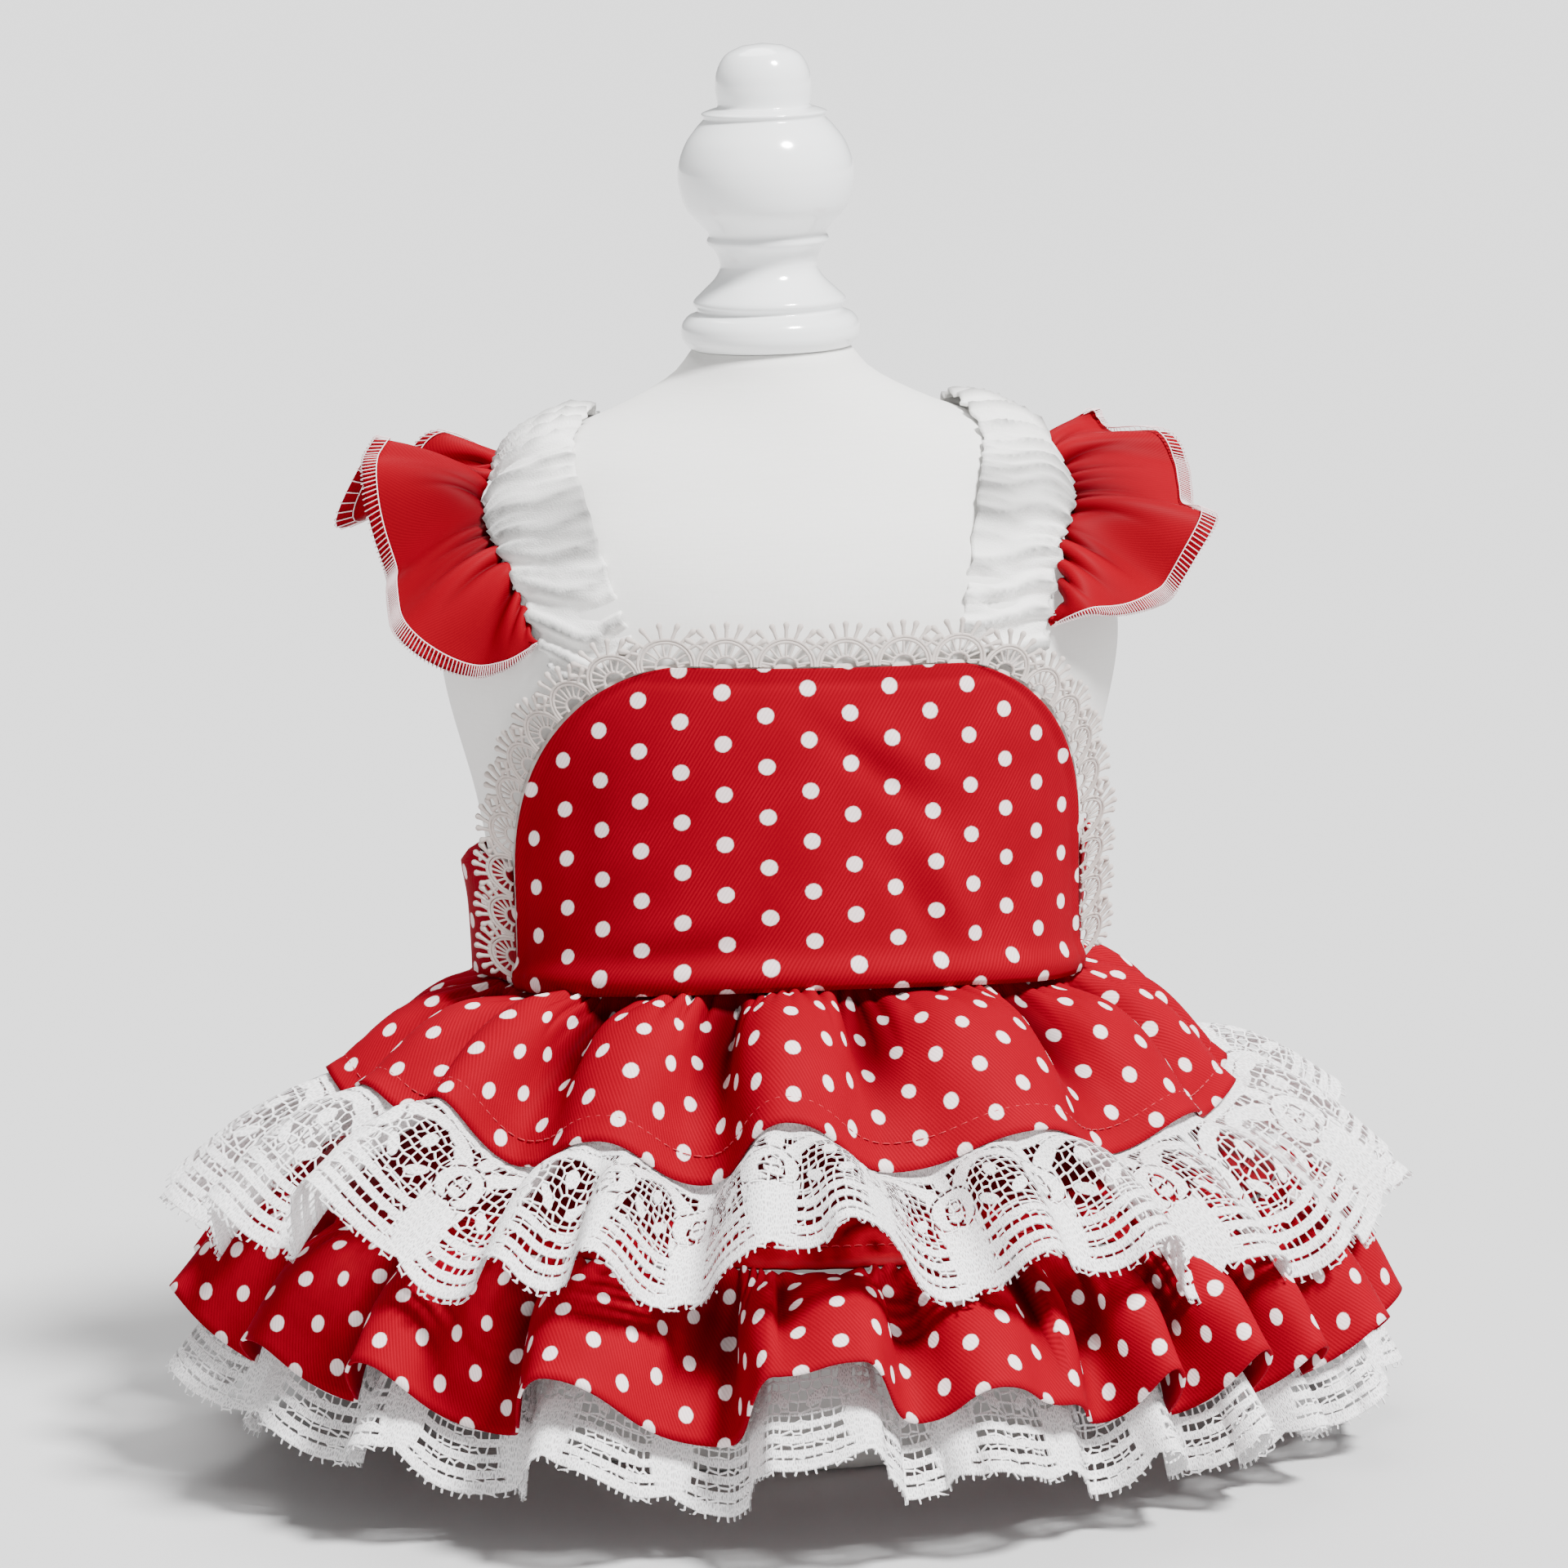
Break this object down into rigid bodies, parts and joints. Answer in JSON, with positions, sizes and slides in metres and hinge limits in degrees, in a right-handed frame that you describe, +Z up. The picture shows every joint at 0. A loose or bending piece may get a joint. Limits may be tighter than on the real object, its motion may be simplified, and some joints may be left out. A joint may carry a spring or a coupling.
{
  "type": "dog dress on a dress form",
  "caption": "Sleeveless dog dress with gathered straps, shoulder frills, lace-trimmed bodice and a tiered skirt edged with lace, worn by a small limbless dress form with a turned cap.",
  "frame": {"origin": "middle of the dress form's flat base, on the surface it stands on", "axes": "+Z up, the dress's front looks along -Y, +X to a viewer's right"},
  "size_m": [0.2785, 0.266, 0.3095],
  "materials": {
    "dotted_cotton": "printed cotton twill with a soft sheen, off-white dots",
    "red_satin": "plain satin weave with a soft gloss",
    "white_cotton": "gathered white cotton, matt",
    "white_lace": "knitted net lace with dense flowers, matt",
    "ivory_guipure": "corded scalloped lace, matt",
    "form_linen": "fine plain cloth drawn tight, matt",
    "white_lacquer": "glossy white lacquer on turned wood"
  },
  "bodies": {
    "root": {"form_body": "form_linen", "form_cap": "white_lacquer", "bodice_front": "dotted_cotton", "bodice_band": "dotted_cotton", "bodice_trim": "ivory_guipure", "strap_left": "white_cotton", "strap_right": "white_cotton", "frill_left": "red_satin", "frill_right": "red_satin", "skirt_tier": "dotted_cotton", "lace_upper": "white_lace", "underskirt": "red_satin", "skirt_ruffle": "dotted_cotton", "lace_lower": "white_lace"}
  },
  "joints": []
}
